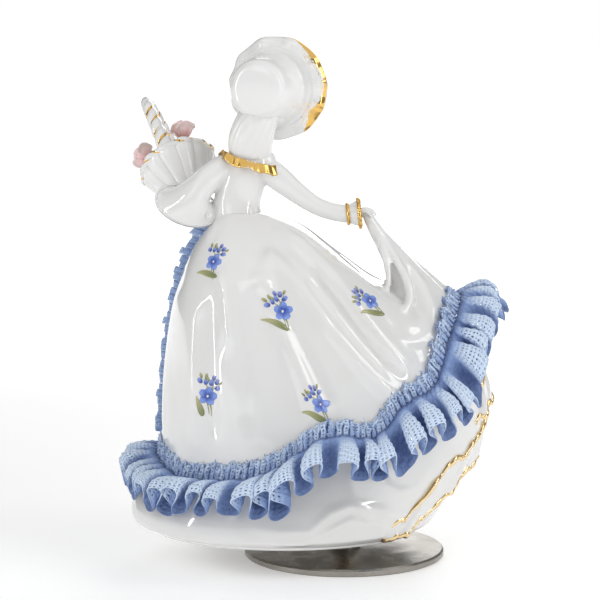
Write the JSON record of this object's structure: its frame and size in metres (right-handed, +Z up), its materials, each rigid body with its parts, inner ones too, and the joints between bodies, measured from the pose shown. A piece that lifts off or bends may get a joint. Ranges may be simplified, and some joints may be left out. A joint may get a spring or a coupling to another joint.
{
  "type": "rotating porcelain figurine music box",
  "caption": "Porcelain lady in a crinoline with lace hem, turning on a round metal disc that winds the musical movement inside her skirt.",
  "frame": {"origin": "centre of the turntable disc's underside, on the winding shaft's axis", "axes": "+Z up along the winding shaft; the lady faces -Y; her left arm with the basket is on +X"},
  "size_m": [0.1347, 0.0992, 0.1764],
  "materials": {
    "white_porcelain": "glossy",
    "blue_lace": "satin",
    "gold_trim": "gilded",
    "pink_rose": "glossy",
    "green_leaf": "glossy",
    "nickel": "polished",
    "steel": "satin",
    "brass": "satin",
    "zinc": "cast",
    "adhesive": "matte"
  },
  "bodies": {
    "stand": {"turntable_disc": "nickel", "collar_screw": "steel", "shaft_collar": "nickel", "winding_shaft": "steel", "crown_wheel": "brass"},
    "figurine": {"petticoat": "white_porcelain", "overskirt": "white_porcelain", "raised_train": "white_porcelain", "petticoat_frill_lower": "white_porcelain", "petticoat_frill_upper": "white_porcelain", "hem_lace_flounce": "blue_lace", "hem_lace_heading": "blue_lace", "front_lace_left": "blue_lace", "front_lace_right": "blue_lace", "bodice": "white_porcelain", "neckline_ruffle": "gold_trim", "left_sleeve": "white_porcelain", "left_sleeve_frill": "white_porcelain", "left_hand": "white_porcelain", "right_sleeve": "white_porcelain", "right_cuff": "gold_trim", "right_hand": "white_porcelain", "head": "white_porcelain", "hair": "white_porcelain", "sun_hat": "white_porcelain", "basket": "white_porcelain", "basket_handle": "white_porcelain", "rose_left": "pink_rose", "rose_right": "pink_rose", "rose_front": "pink_rose", "rose_leaves": "green_leaf", "mounting_plate": "nickel", "bonding_ring": "adhesive", "shaft_bush": "brass", "bedplate": "zinc", "bedplate_screws": "steel", "spring_barrel": "steel", "barrel_cover": "brass", "mainspring": "steel", "drum_bearings": "zinc", "comb": "steel", "comb_screws": "steel", "governor_bracket": "zinc", "governor_screw": "steel"},
    "music_drum": {"drum": "brass", "drum_pins": "steel", "drum_arbor": "steel", "drum_pinion": "brass", "drum_wheel": "brass"},
    "governor_wheel": {"governor_arbor": "steel", "governor_pinion": "brass", "worm_wheel": "brass"},
    "governor_fly": {"worm": "steel", "air_brake": "brass"}
  },
  "joints": [
    {"name": "figure_turn", "type": "hinge", "parent": "stand", "child": "figurine", "pos_m": [0, 0, 0], "axis": [0, 0, 1], "continuous": true},
    {"name": "drum_spin", "type": "hinge", "parent": "figurine", "child": "music_drum", "pos_m": [0.02, 0, 0.018], "axis": [1, 0, 0], "continuous": true},
    {"name": "governor_spin", "type": "hinge", "parent": "figurine", "child": "governor_wheel", "pos_m": [0.032, -0.0078, 0.018], "axis": [1, 0, 0], "continuous": true},
    {"name": "fly_spin", "type": "hinge", "parent": "figurine", "child": "governor_fly", "pos_m": [0.0327, -0.0118, 0.02], "axis": [0, 0, 1], "continuous": true}
  ],
  "couplings": [
    {"joint": "drum_spin", "follows": "figure_turn", "ratio": -4},
    {"joint": "governor_spin", "follows": "figure_turn", "ratio": 22},
    {"joint": "fly_spin", "follows": "figure_turn", "ratio": 440}
  ]
}
